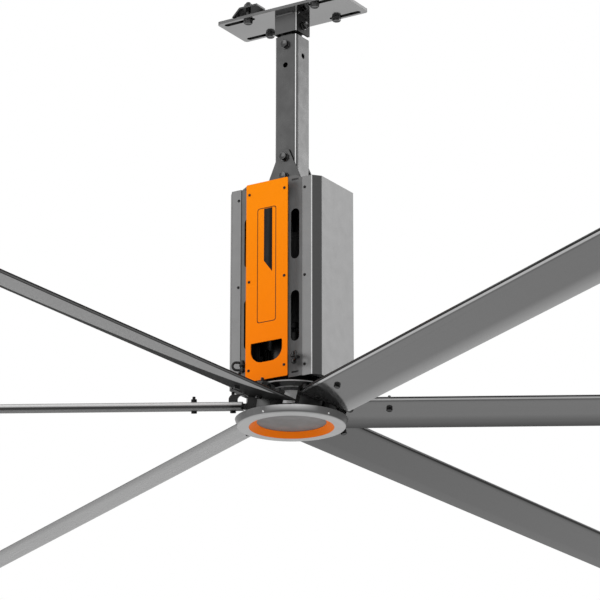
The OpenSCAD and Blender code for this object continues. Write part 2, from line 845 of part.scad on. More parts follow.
module blade_arms() {
    color("dimgray")
    for (k = [1:blade_count]) at_blade(k) difference() {
        translate([arm_in, -arm_w / 2, arm_up - arm_t]) cube([arm_r - arm_in, arm_w, arm_t]);
        for (x = [seat_bolt_r, bolt_r1, bolt_r2])
            translate([x, 0, -40]) cylinder(d = m10, h = 80, $fn = 32);
    }
}

// Point at t on a cubic curve through four control points
function bez(p, t) =
    pow(1 - t, 3) * p[0] + 3 * t * pow(1 - t, 2) * p[1] + 3 * t * t * (1 - t) * p[2] + t * t * t * p[3];

// Aerofoil: nose, crown, trailing edge and flat side, shrunk by the inset i
function nose(i) = [-chord_lead + i, -4.6];
function crown(i) = [8, blade_up - i];
function tail(i) = [chord_trail - 8 * i, -9 + 0.1 * i];
function upper_front(i) = [nose(i), [-chord_lead + i, 7 - i], [-26, blade_up - i], crown(i)];
function upper_back(i) = [crown(i), [50, blade_up - i], [88, 1 - i], tail(i)];
function lower_nose(i) = [[-34, -blade_down + i], [-44, -blade_down + i], [-chord_lead + i, -10], nose(i)];
function aerofoil(i) = concat(
    [for (t = [0:0.125:1]) bez(upper_front(i), t)],
    [for (t = [0.1:0.1:1]) bez(upper_back(i), t)],
    [[chord_trail - 8 * i, -11 + 0.5 * i], [82, -blade_down + i]],
    [for (t = [0:0.2:0.8]) bez(lower_nose(i), t)]
);

// Hollow extrusion: the arm's pocket between two webs, a void on each side
module blade_section() {
    difference() {
        polygon(aerofoil(0));
        translate([-arm_w / 2, arm_up - arm_t]) square([arm_w, arm_t]);
        intersection() {
            polygon(aerofoil(blade_wall));
            union() {
                translate([-chord_lead, -20]) square([chord_lead - arm_w / 2 - blade_wall, 40]);
                translate([arm_w / 2 + blade_wall, -20]) square([100, 40]);
            }
        }
    }
}

module blade(k) {
    color("silver")
    at_blade(k) difference() {
        translate([root_r, 0, 0]) rotate([90, 0, 90]) linear_extrude(blade_end - root_r) blade_section();
        for (x = [bolt_r1, bolt_r2]) translate([x, 0, -40]) cylinder(d = m10, h = 80, $fn = 32);
    }
}

module blade_1() { blade(1); }
module blade_2() { blade(2); }
module blade_3() { blade(3); }
module blade_4() { blade(4); }
module blade_5() { blade(5); }
module blade_6() { blade(6); }

module tip_caps() {
    color("dimgray")
    for (k = [1:blade_count]) at_blade(k)
        translate([blade_end, 0, 0]) rotate([90, 0, 90]) linear_extrude(tip_t) polygon(aerofoil(0));
}

strap_w = 20;
strap_t = 4;
arch_r = 14;
arch_x = bolt_r1 - 28;
arch_z = seat_up - 5.5;
strap_out = bolt_r1 + 13;
strap_round = 16;
strap_grip = 18;

// Strap from the arm seat's top, arched over to a thick leg that stands on
// the blade over the inner blade bolt
module strap_profile() {
    x0 = seat_out - seat_l + 1;
    top = seat_up + strap_t;
    outer = arch_r + strap_t;
    polygon(concat(
        [[x0, seat_up], [x0, top]],
        arc(arch_x, arch_z, outer, 180 - asin((top - arch_z) / outer), 90, 12),
        arc(strap_out - strap_round, arch_z + outer - strap_round, strap_round, 90, 0, 10),
        [[strap_out, blade_up], [arch_x + arch_r, blade_up]],
        arc(arch_x, arch_z, arch_r, 0, 180 - asin((seat_up - arch_z) / arch_r), 16)
    ));
}

module retaining_straps() {
    color("black")
    for (k = [1:blade_count]) at_blade(k) difference() {
        translate([0, strap_w / 2, 0]) rotate([90, 0, 0]) linear_extrude(strap_w) strap_profile();
        translate([seat_bolt_r, 0, 0]) cylinder(d = m10, h = 60, $fn = 32);
        translate([bolt_r1, 0, 0]) cylinder(d = m10, h = blade_up + strap_grip + 2, $fn = 32);
    }
}

// Bolts up through blade and arm; the inner one is screwed into the strap
module blade_bolts() {
    color("black")
    for (k = [1:blade_count]) at_blade(k) {
        translate([bolt_r2, 0, -blade_down]) hex_bolt(m10, m10_af, 6.4, blade_down + blade_up, 8);
        translate([bolt_r1, 0, -blade_down]) hex_screw(m10, m10_af, 6.4, blade_down + blade_up + strap_grip);
    }
}

cap_wall = 2.5;
cap_edge = 4;
cap_lip = cap_d / 2 - cap_wall;
cap_lean = atan(cap_draw / (cap_h - cap_edge));
screw_drop = cap_h * 0.6;

// Radius of the cap's outer side at depth h below its top edge
function cap_side(h) = cap_d / 2 - h * cap_draw / (cap_h - cap_edge);

// Places its children on the cap's side, Z square to it
module at_cap_screws() {
    for (k = [0:cap_screw_count - 1]) rotate(cap_screw_a + k * 360 / cap_screw_count)
        translate([cap_side(screw_drop), 0, z_cap_top - screw_drop]) rotate([0, 90 + cap_lean, 0]) children();
}

// Plate under the hub disc; its turned-down rim carries the cap
module cap_carrier() {
    low = cap_h - cap_edge - 1;
    color("black")
    difference() {
        rotate_extrude($fn = 96)
            polygon([
                [0, z_carrier], [cap_lip - 0.2, z_carrier], [cap_lip - 0.2, z_cap_top],
                [cap_side(low) - cap_wall - 0.2, z_cap_top - low], [cap_side(low) - cap_wall - 4, z_cap_top - low],
                [cap_lip - 6, z_carrier - carrier_t], [0, z_carrier - carrier_t]
            ]);
        at_cap_screws() cylinder(d = 4.4, h = 40, center = true, $fn = 24);
    }
}

// Dish seen in section: drawn-in side, rounded edge and flat ring
module hub_cap() {
    rim = cap_side(cap_h - cap_edge);
    z_edge = z_cap_bot + cap_edge;
    color("silver")
    difference() {
        rotate_extrude($fn = 96)
            polygon(concat(
                [[cap_lip, z_cap_top], [cap_d / 2, z_cap_top]],
                arc(rim - cap_edge, z_edge, cap_edge, 0, -90, 6),
                [[recess_d / 2, z_cap_bot], [recess_d / 2, z_cap_bot + cap_wall]],
                arc(rim - cap_edge, z_edge, cap_edge - cap_wall, -90, 0, 6)
            ));
        at_cap_screws() cylinder(d = 4.4, h = 10, center = true, $fn = 24);
    }
}

// Sloping ring between the flat ring and the centre disc
module cap_ring() {
    r1 = recess_d / 2;
    r2 = disc_d / 2;
    lip = 1.5;
    top = z_cap_bot + recess_h;
    color("darkorange")
    rotate_extrude($fn = 96)
        polygon([
            [r1, z_cap_bot], [r1, z_cap_bot + cap_wall], [r1 + 4, z_cap_bot + cap_wall],
            [r1 + 4, z_cap_bot + cap_wall + lip], [r1 - 1, z_cap_bot + cap_wall + lip],
            [r2 + 2, top + lip], [r2 - 4, top + lip], [r2 - 4, top], [r2, top]
        ]);
}

module cap_disc() {
    color("gray")
    translate([0, 0, z_cap_bot + recess_h + 1.5]) cylinder(d = disc_d + 2, h = 2.5, $fn = 96);
}

cap_screw_count = 5;
cap_screw_a = 272;

module cap_screws() {
    color("silver")
    at_cap_screws() {
        cylinder(d = 7, h = 2.2, $fn = 24);
        translate([0, 0, -8]) cylinder(d = 4, h = 8.5, $fn = 24);
    }
}

beam_pad();
mount_plate();
plate_bracket();
pivot_bolt_x();
knuckle();
pivot_bolt_y();
beam_clamp_1();
beam_clamp_2();
beam_clamp_3();
beam_clamp_4();
clamp_bolt_1();
clamp_bolt_2();
clamp_bolt_3();
clamp_bolt_4();
drop_tube();
tube_bolts();
ear_front();
ear_rear();
frame_front();
frame_rear();
frame_top();
frame_bottom();
cover_front();
cover_rear();
side_cover_left();
side_cover_right();
cover_rails();
cover_screws();
cable_lugs();
shackle_1();
shackle_2();
shackle_3();
shackle_4();
motor_body();
motor_cowl();
terminal_box();
gearbox();
flange_bolts();
motor_rotor();
drive_box();
output_boss();
hub();
hub_bolts();
blade_arms();
blade_1();
blade_2();
blade_3();
blade_4();
blade_5();
blade_6();
tip_caps();
retaining_straps();
blade_bolts();
cap_carrier();
hub_cap();
cap_ring();
cap_disc();
cap_screws();
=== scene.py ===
"""Dressed view of the ceiling fan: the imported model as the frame, fastener and
weld detail, procedural finishes, a plain floor, soft studio light and the camera."""
import json
import math
import random

import bmesh
import bpy
from mathutils import Matrix, Vector

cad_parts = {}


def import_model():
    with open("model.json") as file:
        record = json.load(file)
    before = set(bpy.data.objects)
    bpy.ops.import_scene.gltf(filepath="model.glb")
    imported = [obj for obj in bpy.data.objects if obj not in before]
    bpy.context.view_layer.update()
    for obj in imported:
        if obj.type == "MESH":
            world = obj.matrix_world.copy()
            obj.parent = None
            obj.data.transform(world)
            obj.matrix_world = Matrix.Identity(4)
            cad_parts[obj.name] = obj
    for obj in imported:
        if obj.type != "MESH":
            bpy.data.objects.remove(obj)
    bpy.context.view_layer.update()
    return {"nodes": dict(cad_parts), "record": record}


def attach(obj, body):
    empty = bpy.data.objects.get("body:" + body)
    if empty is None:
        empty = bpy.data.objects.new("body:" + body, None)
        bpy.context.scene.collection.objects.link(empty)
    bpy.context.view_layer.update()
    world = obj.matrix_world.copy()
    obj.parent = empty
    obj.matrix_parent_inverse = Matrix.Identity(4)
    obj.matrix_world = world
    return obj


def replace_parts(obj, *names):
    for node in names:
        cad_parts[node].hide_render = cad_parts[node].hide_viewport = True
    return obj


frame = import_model()

MM = 0.001
SCENE = bpy.context.scene

# ---------------------------------------------------------------- sizes, mm and degrees
# ceiling plate, bracket and clamps; SLOT_ZONE is half the rectangle that holds the slots
PAD_T, PLATE_T, BRACKET_W = 2, 10, 84
SLOT_ZONE_X, SLOT_ZONE_Y = 215, 77
CLAMP_X, CLAMP_Y, CLAMP_PLAY, GRIP_H, CLAW_T = 124, 65, 0.4, 20, 6

# drop tube; Z of its pivots, its ear bolts and the spare holes through its front and its sides
TUBE_W, EAR_T, EAR_FOOT = 80, 6, 73.5
Z_PIVOT_X, Z_PIVOT_Y = -45, -114
Z_EAR_BOLTS = -493, -557
Z_SPARE_FRONT, Z_SPARE_SIDE, SPARE_R = -183, -148, 8.7

# housing; Y of its flanges, frame plates and orange cover
Z_BOX_TOP, BOX_H = -602, 634
Z_BOX_BOT = Z_BOX_TOP - BOX_H
Z_DECK_LOW = Z_BOX_BOT + 19
BOX_FLANGE_W, BOX_D, BEND_D = 291, 234, 25
Y_OUT = BOX_D / 2
Y_PLATE = Y_OUT - 2
Y_COVER = Y_PLATE + 28.3
Z_SCREWS = Z_BOX_TOP - 35, Z_BOX_TOP - BOX_H / 2, Z_BOX_BOT + 35
POST_X, SCREW_X = 63.5, 120

# bare field on the orange cover, to the outside of its groove
FIELD_W, FIELD_H, FIELD_R = 68, 368, 8
Z_FIELD = Z_BOX_TOP - 86 - FIELD_H / 2

# gearbox flange, arm seats and blades; a chord runs from NOSE to TAIL
FLANGE_D = 250
Z_ARM = Z_BOX_BOT - 50
ARM_IN = 105
BLADE_ANGLE, PITCH, BLADES = 30, 13.2, 6
STEP_ANGLE = 60
NOSE, TAIL = -50, 125
SEAT_BOLT_R, BOLT_R1, BOLT_R2 = 121.5, 178, 297
SEAT_UP, STRAP_T, STRAP_GRIP = 24.5, 4, 18
BLADE_UP, BLADE_DOWN, THREAD_ABOVE_STRAP = 14, 12, 13

# hub cap, drawn in by CAP_DRAW from its rim up; angle of its first screw
CAP_D, CAP_H, CAP_DRAW, CAP_EDGE = 344, 24, 7, 4
Z_CAP_TOP = Z_ARM - 43
CAP_SCREWS, CAP_SCREW_A = 5, 272

# bolts: thread, width over the flats, head height
M16 = 16, 24, 10
M10 = 10, 17, 6.4
# bolts that sit on a washer: thread, flats, head height, washer's diameter and thickness;
# SUNK is how far their shanks go into the casting or the hub
FLANGE_BOLT = 12, 19, 7.5, 24, 2.5
SEAT_BOLT = 10, 17, 6.4, 19, 1.6
SUNK = 19
# screws: head's diameter and height, socket, shank's diameter and length
COVER_SCREW = 9, 2.4, 3.2, 5, 9
CAP_SCREW = 7, 2.2, 2.6, 4, 7.5

# side from which the photograph looks, turned from -Y towards +X
VIEW_TURN = 32.3


# ---------------------------------------------------------------- colours
def linear(c):
    """An sRGB value from 0 to 255 as a linear one."""
    c /= 255
    return c / 12.92 if c <= 0.04045 else ((c + 0.055) / 1.055) ** 2.4


def colour(rgb):
    """Linear RGBA of a grey or of three sRGB values, 0 to 255."""
    if not hasattr(rgb, "__len__"):
        rgb = (rgb, rgb, rgb)
    return tuple(linear(c) for c in rgb) + (1.0,)


def paler(rgb, gain, lift):
    """Linear RGBA of a colour's paler edges: scuffed, and where their share is large a painted highlight."""
    return tuple(min(1.0, c * gain + lift) for c in colour(rgb)[:3]) + (1.0,)


# ---------------------------------------------------------------- shader nodes
class Nodes:
    """A material's node tree with short calls for the nodes used here.

    Masks run from 0 to 1. Their heights, radii and lengths are in mm, in the row frame."""

    def __init__(self, name):
        self.mat = bpy.data.materials.new(name)
        self.mat.use_nodes = True
        self.tree = self.mat.node_tree
        self.tree.nodes.clear()
        self.out = self.add("ShaderNodeOutputMaterial")
        self.bsdf = self.add("ShaderNodeBsdfPrincipled")
        self.link(self.bsdf.outputs[0], self.out.inputs[0])
        source = self.add("ShaderNodeTexCoord")
        self.coord = source.outputs["Object"]
        self.facing = source.outputs["Normal"]

    def add(self, kind, **values):
        node = self.tree.nodes.new(kind)
        for key, value in values.items():
            setattr(node, key, value)
        return node

    def link(self, a, b):
        self.tree.links.new(a, b)

    def put(self, socket, value):
        """Link a socket to another, or set it to a constant."""
        if isinstance(value, bpy.types.NodeSocket):
            self.link(value, socket)
        else:
            socket.default_value = value

    def mapped(self, scale=(1, 1, 1), turn=(0, 0, 0), at=(0, 0, 0)):
        """Object coordinates in a frame that is turned and placed, then stretched."""
        node = self.add("ShaderNodeMapping", vector_type="TEXTURE")
        self.link(self.coord, node.inputs["Vector"])
        node.inputs["Location"].default_value = at
        node.inputs["Rotation"].default_value = [math.radians(t) for t in turn]
        node.inputs["Scale"].default_value = [1 / s for s in scale]
        return node.outputs[0]

    def noise(self, vector, scale, detail=2.0, rough=0.5):
        node = self.add("ShaderNodeTexNoise")
        self.put(node.inputs["Vector"], vector)
        node.inputs["Scale"].default_value = scale
        node.inputs["Detail"].default_value = detail
        node.inputs["Roughness"].default_value = rough
        return node.outputs["Fac"]

    def range(self, value, a, b, lo, hi):
        """value from a to b, as lo to hi."""
        node = self.add("ShaderNodeMapRange")
        self.put(node.inputs["Value"], value)
        for key, x in zip(("From Min", "From Max", "To Min", "To Max"), (a, b, lo, hi)):
            node.inputs[key].default_value = x
        return node.outputs[0]

    def swing(self, noise, middle, half, least=0.3):
        """A noise as middle give or take half; least is the noise that gives the lowest value."""
        return self.range(noise, least, 1 - least, middle - half, middle + half)

    def tone(self, clouds, cloud, fine, grain, least=0.25):
        """Grey value round 1: slow clouds plus a fine speckle."""
        return self.math("ADD", self.swing(clouds, 1, cloud), self.swing(fine, 0, grain, least))

    def math(self, kind, a, b=0.0):
        node = self.add("ShaderNodeMath", operation=kind)
        self.put(node.inputs[0], a)
        self.put(node.inputs[1], b)
        return node.outputs[0]

    def length(self, a, b):
        """Length of the vector (a, b)."""
        return self.math("SQRT", self.math("ADD", self.math("MULTIPLY", a, a), self.math("MULTIPLY", b, b)))

    def mix(self, fac, a, b):
        node = self.add("ShaderNodeMix", data_type="RGBA")
        self.put(node.inputs[0], fac)
        self.put(node.inputs[6], a)
        self.put(node.inputs[7], b)
        return node.outputs[2]

    def shade(self, base, value):
        """A colour times a grey value round 1."""
        node = self.add("ShaderNodeVectorMath", operation="SCALE")
        self.put(node.inputs[0], base[:3] if isinstance(base, tuple) else base)
        self.put(node.inputs["Scale"], value)
        return node.outputs[0]

    def lighten(self, base, mask, share, light):
        """base with a share of the linear colour light where the mask is."""
        return self.mix(self.math("MULTIPLY", mask, share), base, light)

    def axis(self, i, vector=None):
        node = self.add("ShaderNodeSeparateXYZ")
        self.link(vector or self.coord, node.inputs[0])
        return node.outputs[i]

    def away(self, i):
        """Distance from the middle along axis i, either way."""
        return self.math("ABSOLUTE", self.axis(i))

    def step(self, value, a, b):
        """Mask by a length: 0 at a, 1 at b."""
        return self.range(value, a * MM, b * MM, 0, 1)

    def both(self, *masks):
        """Where all the masks are."""
        shared = masks[0]
        for mask in masks[1:]:
            shared = self.math("MULTIPLY", shared, mask)
        return shared

    def faces(self, i, a, b):
        """Mask by how far a face's normal leans to axis i, either way: 0 at a, 1 at b."""
        return self.range(self.math("ABSOLUTE", self.axis(i, self.facing)), a, b, 0, 1)

    def leans(self, angle):
        """How far a face's normal points along a level direction, degrees from +X."""
        a = math.radians(angle)
        return self.math("ADD", self.math("MULTIPLY", self.axis(0, self.facing), math.cos(a)),
                         self.math("MULTIPLY", self.axis(1, self.facing), math.sin(a)))

    def hole(self, i, z, r):
        """Mask of all that lies within r of a level axis at height z, across axis i."""
        far = self.length(self.axis(i), self.math("SUBTRACT", self.axis(2), z * MM))
        return self.step(far, r + 0.2, r)

    def rim(self, r0, r1, z):
        """Mask of a ring round Z between two radii, below z."""
        r = self.length(self.axis(0), self.axis(1))
        return self.both(self.step(r, r0 - 0.3, r0), self.step(r, r1 + 0.3, r1), self.step(self.axis(2), z + 0.3, z))

    def edges(self, radius):
        """Round normal near edges, and a mask that is 1 on them."""
        bevel = self.add("ShaderNodeBevel", samples=4)
        bevel.inputs["Radius"].default_value = radius * MM
        true = self.add("ShaderNodeNewGeometry").outputs["Normal"]
        dot = self.add("ShaderNodeVectorMath", operation="DOT_PRODUCT")
        self.link(bevel.outputs[0], dot.inputs[0])
        self.link(true, dot.inputs[1])
        return bevel.outputs[0], self.range(dot.outputs["Value"], 0.995, 0.8, 0, 1)

    def bump(self, height, normal, distance):
        node = self.add("ShaderNodeBump")
        self.put(node.inputs["Height"], height)
        node.inputs["Distance"].default_value = distance * MM
        node.inputs["Strength"].default_value = 1.0
        self.link(normal, node.inputs["Normal"])
        return node.outputs[0]

    def finish(self, base, rough, normal=None, metallic=0.0, specular=0.5):
        put = self.bsdf.inputs
        self.put(put["Base Color"], base)
        self.put(put["Roughness"], rough)
        put["Metallic"].default_value = metallic
        put["Specular IOR Level"].default_value = specular
        if normal is not None:
            self.link(normal, put["Normal"])
        return self.mat


# ---------------------------------------------------------------- finishes
def coated(name, rgb, rough=0.45, grain=0.05, peel=700, depth=0.05, wear_and_sheen=0.25, metallic=0.0,
           specular=0.5, edge=1.2, cloud=0.05, spots=()):
    """Powder coat or paint: soft cloudy tone, fine speckle, orange peel, paler edges that are scuffed and, where
    their share is large, a painted highlight.

    spots are pairs of a mask's function and a grey, laid over it in turn; most are painted highlights and painted
    shade."""
    n = Nodes(name)
    at = n.mapped()
    normal, mask = n.edges(edge)
    fine = n.noise(at, peel, 3.0, 0.6)
    tone = n.tone(n.noise(at, 5.0, 3.0), cloud, fine, grain)
    chips_and_sheen = n.math("MULTIPLY", mask, n.range(n.noise(at, 90, 2.0), 0.45, 0.7, 0.25, 1))
    base = n.lighten(n.shade(colour(rgb), tone), chips_and_sheen, wear_and_sheen, paler(rgb, 1.7, 0.03))
    for where, spot in spots:
        base = n.mix(where(n), base, n.shade(colour(spot), tone))
    return n.finish(base, n.swing(n.noise(at, 26, 3.0), rough, 0.06), n.bump(fine, normal, depth),
                    metallic, specular)


def cast(name, grey):
    """Rough cast skin under paint."""
    n = Nodes(name)
    normal, mask = n.edges(1.5)
    grit = n.noise(n.mapped(), 260, 6.0, 0.7)
    base = n.lighten(n.shade(colour(grey), n.swing(grit, 1, 0.2)), mask, 0.3, colour(1.5 * grey))
    return n.finish(base, n.swing(grit, 0.6, 0.1), n.bump(grit, normal, 0.35), 0.3)


def steel(name, rgb, rough=0.35, metallic=0.9, wear_and_sheen=0.3, specular=0.5):
    """Bare, plated or blackened metal with a fine grain and paler edges."""
    n = Nodes(name)
    at = n.mapped()
    normal, mask = n.edges(0.8)
    fine = n.noise(at, 900, 2.0, 0.6)
    tone = n.tone(n.noise(at, 14, 3.0), 0.1, fine, 0.07, 0.3)
    base = n.lighten(n.shade(colour(rgb), tone), mask, wear_and_sheen, paler(rgb, 2.2, 0.06))
    return n.finish(base, n.swing(fine, rough, 0.07), n.bump(fine, normal, 0.02), metallic, specular)


def smooth_sheet(name, edge, scale, detail, cloud, grain):
    """Start of a smooth painted sheet: nodes, coordinates, edge mask, tone and relief."""
    n = Nodes(name)
    at = n.mapped()
    normal, mask = n.edges(edge)
    fine = n.noise(at, 800, 3.0, 0.6)
    return n, at, mask, n.tone(n.noise(at, scale, detail), cloud, fine, grain), n.bump(fine, normal, 0.04)


def side_sheet(name, rgb, corner_shade):
    """Satin sheet of a side cover: painted shade on the slanting corners, a painted line along each fold that is a
    highlight on the +X side and shade on the -X side, and painted shade, near black, inside.
    """
    n, at, mask, tone, relief = smooth_sheet(name, 1.6, 4.0, 2.0, 0.015, 0.03)
    x, y = n.away(0), n.away(1)
    fold_x, bend_y = BOX_FLANGE_W / 2, Y_OUT - BEND_D
    # painted shade: a darker grey on the slanting corners
    corner = n.both(n.step(x, fold_x + 0.6, fold_x + 2.2), n.step(y, bend_y - 0.6, bend_y + 1.2))
    # painted highlight along each fold on the +X side, painted shade along it on the -X side
    fold = n.both(n.step(x, fold_x - 2.0, fold_x - 1.6), n.step(x, fold_x + 1.0, fold_x + 0.6),
                  n.step(y, Y_OUT - 2.5, Y_OUT - 2))
    base = n.mix(corner, n.shade(colour(rgb), tone), n.shade(colour(corner_shade), tone))
    base = n.mix(fold, base, n.mix(n.step(n.axis(0), 10, -10), colour(200), colour(80)))
    # painted shade: near black on the faces inside the housing
    base = n.mix(inside_shade(n), n.lighten(base, mask, 0.25, colour(215)), colour(8))
    return n.finish(base, n.swing(n.noise(at, 30, 3.0), 0.39, 0.02), relief, 0.35)


def cover_paint(name, top, low):
    """Satin orange paint, a little deeper towards the foot as painted shade."""
    n, at, mask, tone, relief = smooth_sheet(name, 1.0, 3.0, 3.0, 0.015, 0.03)
    height = n.step(n.axis(2), Z_BOX_BOT, Z_BOX_TOP)
    # painted shade: the low colour at the foot, the top colour at the top
    base = n.shade(n.mix(height, colour(low), colour(top)), tone)
    base = n.lighten(base, mask, 0.1, colour((255, 190, 110)))
    return n.finish(base, n.swing(n.noise(at, 30, 3.0), 0.51, 0.05), relief, specular=0.03)


def cap_sheet(name, rgb, side, rim_glint, shaded):
    """Pressed cap: pale flat ring, its drawn side painted darker as shade, with a painted highlight along the rim in
    front and painted shade on one side.
    """
    n, at, mask, tone, relief = smooth_sheet(name, 1.4, 7.0, 3.0, 0.03, 0.04)
    edge = Z_CAP_TOP - CAP_H + CAP_EDGE
    up = n.step(n.axis(2), edge - 2.5, edge + 0.5)
    # painted highlight on the rim where it faces the front, painted shade where the side faces right
    front = n.range(n.leans(VIEW_TURN - 90), 0.83, 0.94, 0, 1)
    right = n.range(n.leans(VIEW_TURN), 0.45, 0.9, 0, 1)
    rim = n.step(n.axis(2), Z_CAP_TOP - 18, Z_CAP_TOP - 2)
    wall_light_and_shade = n.mix(n.both(front, rim), n.mix(right, colour(side), colour(shaded)), colour(rim_glint))
    base = n.lighten(n.shade(n.mix(up, colour(rgb), wall_light_and_shade), tone), mask, 0.25, colour(225))
    return n.finish(base, n.swing(n.noise(at, 30, 3.0), 0.37, 0.05), relief, 0.35)


# ---------------------------------------------------------------- blades' finish
# Greys across the crowned side, as (chord, grey) from the nose to the trailing edge: a painted highlight band in the
# middle and painted shade at the nose and the trailing edge.
CROWN_LIGHT_AND_SHADE = ((NOSE, 8), (-46, 8), (-38, 125), (40, 130), (56, 215), (78, 215), (90, 140), (99, 34), (TAIL, 12))
# Painted shade at the root, standing for the hub's dark reflection: it lies where the chord is below ROOT_REACH /
# radius - ROOT_DROP, in metres.
ROOT_REACH, ROOT_DROP = 0.033, 0.045


def flat_side(grey, dark, line=None, fade=70, tail=None):
    """Greys across the flat side, painted reflections and shade: a painted dark nose to the chord dark,
    a painted highlight line next to it that has an end and a grey, then grey up to the chord fade,
    and tail at the trailing edge.

    Without a tail, the trailing edge gets two painted dark lines of shade for a folded lip that the solid does not
    have."""
    greys = [(NOSE, 8), (dark, 8)] if dark > NOSE else []
    if line:
        end, highlight_grey = line
        greys += [(dark + 0.5, highlight_grey), (end, highlight_grey), (end + 3, 0.75 * grey), (end + 9, grey)]
    else:
        greys += [(dark + 2, grey)]
    if tail is None:
        return greys + [(94, grey), (97, 8), (103, 8), (105, grey / 2), (115, grey / 2), (118, 2), (TAIL, 2)]
    return greys + [(fade, grey), (TAIL, tail)]


def chord_tones(n, chord, stops):
    """Greys across a blade, from (chord, grey) pairs."""
    ramp = n.add("ShaderNodeValToRGB")
    n.link(n.step(chord, NOSE, TAIL), ramp.inputs[0])
    marks = ramp.color_ramp.elements
    while len(marks) < len(stops):
        marks.new(1.0)
    for mark, (at, grey) in zip(marks, stops):
        mark.position = (at - NOSE) / (TAIL - NOSE)
        mark.color = colour(grey)
    return ramp.outputs[0]


def drawn(name, angle, below, metallic, rough, shaded=False):
    """Silver anodised extrusion: die lines run along the blade; its greys across the chord are painted reflections,
    highlights and shade.
    """
    n = Nodes(name)
    along = n.mapped((0.012, 1, 1), (0, 0, angle))
    local = n.mapped(turn=(-PITCH, 0, angle), at=(0, 0, Z_ARM * MM))
    normal, mask = n.edges(1.0)
    lines = n.noise(along, 420, 3.0, 0.65)
    tone = n.tone(n.noise(along, 26, 2.0), 0.02, lines, 0.02, 0.3)
    chord = n.axis(1, local)
    upper = n.range(n.axis(2, n.facing), -0.15, 0.15, 0, 1)
    base = n.shade(n.mix(upper, chord_tones(n, chord, below), chord_tones(n, chord, CROWN_LIGHT_AND_SHADE)), tone)
    if shaded:
        # painted shade at the root of the flat side
        limit = n.math("SUBTRACT", n.math("DIVIDE", ROOT_REACH, n.axis(0, local)), ROOT_DROP)
        root = n.step(n.math("SUBTRACT", chord, limit), 1, -1)
        base = n.mix(n.both(root, n.math("SUBTRACT", 1.0, upper)), base, colour(26))
    base = n.lighten(base, mask, 0.1, colour(215))
    return n.finish(base, n.swing(lines, rough, 0.05), n.bump(lines, normal, 0.02), metallic,
                    0.5 if metallic > 0.2 else 0.01)


# ---------------------------------------------------------------- masks for spots
def front_faces(n):
    return n.faces(1, 0.5, 0.7)


def bracket_joint_highlight(n):
    """Painted highlight: light line where the bracket's front meets the plate."""
    top = -PAD_T - PLATE_T
    return n.both(front_faces(n), n.step(n.axis(2), top - 3, top - 2.5))


def bracket_corner_highlight(n):
    """Painted highlight: bright line down the bracket's corner on the right."""
    return n.both(front_faces(n), n.step(n.axis(0), BRACKET_W / 2 - 4.5, BRACKET_W / 2 - 4))


# painted shade: darker grey on the plate's edges
def plate_edge_shade(n):
    return n.faces(2, 0.6, 0.4)


# painted shade: near black on the walls of the plate's slots
def slot_wall_shade(n):
    return n.both(n.step(n.away(0), SLOT_ZONE_X + 1, SLOT_ZONE_X - 1),
                  n.step(n.away(1), SLOT_ZONE_Y + 1, SLOT_ZONE_Y - 1), plate_edge_shade(n))


def tube_sides_lit(n):
    """Painted light: the tube's sides paler than its front, brighter towards the foot."""
    return n.both(n.faces(0, 0.85, 0.95), n.step(n.axis(2), -120, -560))


def tube_corner_highlights(n):
    """Painted highlight: bright line down each corner of the tube."""
    return n.both(n.faces(0, 0.34, 0.46), n.faces(1, 0.6, 0.66))


def corner_shade_lines(n):
    """Painted shade: dark line beside each of the two front corners, on the tube's sides."""
    return n.both(n.faces(0, 0.76, 0.8), n.step(n.axis(1), -26.4, -27))


# painted shade: near black within the spare holes through the tube's sides and front
def side_hole_shade(n):
    return n.hole(1, Z_SPARE_SIDE, SPARE_R)


def front_hole_shade(n):
    return n.hole(0, Z_SPARE_FRONT, SPARE_R)


def frame_edge_shade(n):
    """Painted shade on the edges and slot walls of the frame plates."""
    return n.faces(1, 0.6, 0.4)


def beside_cover_light(n):
    """Front of a frame plate beside the orange cover: painted light that lifts the shade the cover casts."""
    return n.both(n.step(n.away(0), 95, 66), front_faces(n),
                  n.step(n.axis(2), Z_BOX_TOP - 15, Z_BOX_TOP - 75))


# painted shade: near black on the middle of the frame plates, behind the covers
def behind_cover_shade(n):
    return n.step(n.away(0), 62, 58)


def inside_shade(n):
    """Faces that look to the middle of the housing, painted near black as shade."""
    out = n.math("ADD", n.math("MULTIPLY", n.axis(0), n.axis(0, n.facing)),
                 n.math("MULTIPLY", n.axis(1), n.axis(1, n.facing)))
    return n.step(out, -10, -30)


# painted highlight: a bright ring on the gearbox flange's rim
def flange_rim_highlight(n):
    return n.rim(122, 125.4, Z_BOX_BOT - 3)


# painted highlight: a bright ring on the rim of the gearbox's nose
def bearing_rim_highlight(n):
    return n.rim(66, 71, Z_BOX_BOT - 5.6)


# painted shade: near black on the gearbox inside the housing
def in_housing_shade(n):
    return n.step(n.axis(2), Z_DECK_LOW, Z_DECK_LOW + 5)


